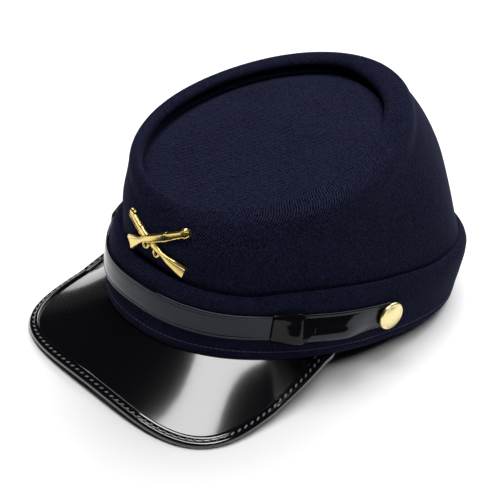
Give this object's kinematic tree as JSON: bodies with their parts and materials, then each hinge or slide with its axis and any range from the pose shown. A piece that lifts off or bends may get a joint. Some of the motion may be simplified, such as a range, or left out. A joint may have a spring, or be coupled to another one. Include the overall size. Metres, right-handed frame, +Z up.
{
  "type": "kepi cap",
  "caption": "Navy wool kepi with a tipped recessed top, patent leather peak with bound edge, chin strap, side buttons and a crossed-rifles badge.",
  "frame": {"origin": "middle of the bounding box's bottom, on the surface the cap rests on", "axes": "+Z up, -Y the way the peak points, +X the wearer's left"},
  "size_m": [0.1742, 0.2428, 0.1218],
  "materials": {
    "band_wool": "matt navy wool",
    "crown_wool": "matt navy wool",
    "disc_wool": "matt navy wool",
    "peak_leather": "glossy black patent",
    "binding_leather": "glossy black patent",
    "strap_leather": "glossy black patent",
    "keeper_leather": "glossy black patent",
    "button_brass": "satin gilt",
    "badge_brass": "satin gilt"
  },
  "bodies": {
    "root": {"band": "band_wool", "crown_wall": "crown_wool", "top_disc": "disc_wool", "peak": "peak_leather", "peak_binding": "binding_leather", "front_strap": "strap_leather", "side_strap_left": "strap_leather", "side_strap_right": "strap_leather", "keeper_left": "keeper_leather", "keeper_right": "keeper_leather", "button_left": "button_brass", "button_right": "button_brass", "badge": "badge_brass"}
  },
  "joints": []
}
